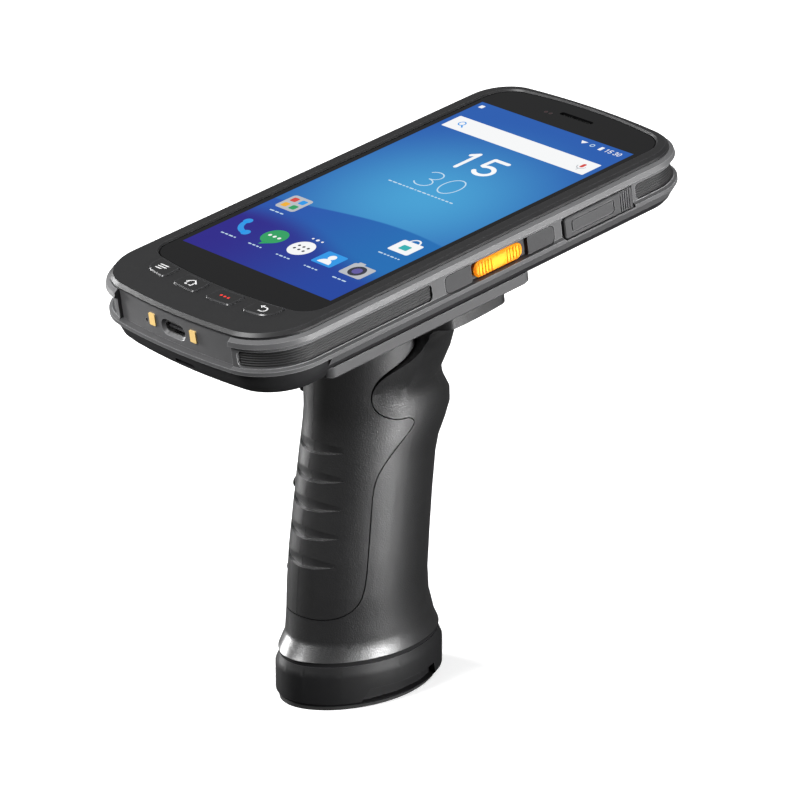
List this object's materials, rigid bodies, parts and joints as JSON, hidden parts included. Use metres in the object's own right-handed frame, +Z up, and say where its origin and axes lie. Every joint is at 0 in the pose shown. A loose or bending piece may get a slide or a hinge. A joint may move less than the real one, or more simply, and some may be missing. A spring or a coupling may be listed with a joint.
{
  "type": "portable barcode data terminal",
  "caption": "Handheld data terminal with a touch screen, front keys and side scan keys, carried on a pistol grip with a trigger and a flat base it stands on.",
  "frame": {"origin": "centre of the flat resting face under the grip's foot pad", "axes": "+Z up out of the resting face, +X towards the scanning end of the terminal, +Y to the left as the user holds the grip"},
  "size_m": [0.164, 0.082, 0.1563],
  "materials": {
    "bezel": "fine satin charcoal moulding",
    "cover_glass": "clear hardened glass with a black border",
    "screen": "bright display under the glass",
    "key_cap": "polished black",
    "bumper": "mid grey, fine grain",
    "pad": "dark grey, fine hatching",
    "side_plate": "mid grey satin",
    "scan_key": "translucent orange",
    "side_key": "dark satin",
    "card_cover": "mid grey, fine grain",
    "shell": "charcoal, fine texture",
    "tray": "grey satin",
    "grip_shell": "charcoal, soft sheen",
    "trigger": "dark satin",
    "foot": "black, matt",
    "gold": "gold plated",
    "steel": "plain, bright",
    "dark_steel": "blackened",
    "board": "green laminate",
    "inner_plastic": "plain black",
    "inner_metal": "plain stamped",
    "battery": "dark wrapped cell",
    "window": "dark red tinted",
    "lens": "dark, clear",
    "lamp": "frosted",
    "mesh": "fine dark mesh"
  },
  "bodies": {
    "chassis": {"front_bezel": "bezel", "touch_glass": "cover_glass", "display_panel": "screen", "key_domes": "inner_metal", "keypad_board": "board", "bumper_frame": "bumper", "grip_pad_lower_right": "pad", "grip_pad_lower_left": "pad", "grip_pad_upper_right": "pad", "grip_pad_upper_left": "pad", "side_plate_right": "side_plate", "side_plate_left": "side_plate", "side_switches_right": "inner_plastic", "side_switches_left": "inner_plastic", "card_cover_pin": "steel", "card_socket": "inner_metal", "dock_panel": "bumper", "dock_contacts": "gold", "usb_port_shell": "steel", "usb_port_tongue": "inner_plastic", "rear_shell": "shell", "rear_screws": "dark_steel", "battery_cover": "shell", "terminal_battery": "battery", "mid_plate": "inner_metal", "main_board": "board", "board_shields": "inner_metal", "scan_engine": "inner_plastic", "scan_window": "window", "camera_module": "inner_plastic", "camera_glass": "lens", "flash_window": "lamp", "loudspeaker": "inner_plastic", "earpiece_mesh": "mesh", "earpiece_receiver": "inner_plastic", "cradle_tray": "tray", "cradle_screws": "dark_steel", "grip_front_shell": "grip_shell", "palm_shell_left": "grip_shell", "palm_shell_right": "grip_shell", "grip_screws": "dark_steel", "trigger_pin": "steel", "trigger_spring": "steel", "trigger_board": "board", "trigger_switch": "inner_plastic", "grip_contact_block": "inner_plastic", "grip_battery": "battery", "base_cap": "grip_shell", "foot_pad": "foot"},
    "back_key": {"key_back": "key_cap"},
    "function_key": {"key_function": "key_cap"},
    "home_key": {"key_home": "key_cap"},
    "menu_key": {"key_menu": "key_cap"},
    "right_scan_key": {"scan_key_right": "scan_key"},
    "left_scan_key": {"scan_key_left": "scan_key"},
    "volume_rocker": {"volume_rocker": "side_key"},
    "power_key": {"power_key": "side_key"},
    "card_cover": {"card_cover": "card_cover"},
    "trigger": {"trigger": "trigger"}
  },
  "joints": [
    {"name": "back_key_press", "type": "slide", "parent": "chassis", "child": "back_key", "axis": [0.1478, 0, -0.989], "range_m": [0, 0.00035], "stiffness_N_per_m": 500},
    {"name": "function_key_press", "type": "slide", "parent": "chassis", "child": "function_key", "axis": [0.1478, 0, -0.989], "range_m": [0, 0.00035], "stiffness_N_per_m": 500},
    {"name": "home_key_press", "type": "slide", "parent": "chassis", "child": "home_key", "axis": [0.1478, 0, -0.989], "range_m": [0, 0.00035], "stiffness_N_per_m": 500},
    {"name": "menu_key_press", "type": "slide", "parent": "chassis", "child": "menu_key", "axis": [0.1478, 0, -0.989], "range_m": [0, 0.00035], "stiffness_N_per_m": 500},
    {"name": "right_scan_key_press", "type": "slide", "parent": "chassis", "child": "right_scan_key", "axis": [0, 1, 0], "range_m": [0, 0.0005], "stiffness_N_per_m": 500},
    {"name": "left_scan_key_press", "type": "slide", "parent": "chassis", "child": "left_scan_key", "axis": [0, -1, 0], "range_m": [0, 0.0005], "stiffness_N_per_m": 500},
    {"name": "power_key_press", "type": "slide", "parent": "chassis", "child": "power_key", "axis": [0, -1, 0], "range_m": [0, 0.0005], "stiffness_N_per_m": 500},
    {"name": "volume_rocker_tilt", "type": "hinge", "parent": "chassis", "child": "volume_rocker", "pos_m": [0.04975, 0.0367, 0.14217], "axis": [-0.1478, 0, 0.989], "range_deg": [-1.5, 1.5], "stiffness_Nm_per_rad": 0.05},
    {"name": "card_cover_hinge", "type": "hinge", "parent": "chassis", "child": "card_cover", "pos_m": [0.06832, -0.03977, 0.14454], "axis": [-0.1478, 0, 0.989], "range_deg": [0, 90]},
    {"name": "trigger_pivot", "type": "hinge", "parent": "chassis", "child": "trigger", "pos_m": [0.0215, 0, 0.1025], "axis": [0, 1, 0], "range_deg": [0, 6], "stiffness_Nm_per_rad": 0.25, "springref_deg": -5.73, "deforming": ["trigger_spring"]}
  ]
}
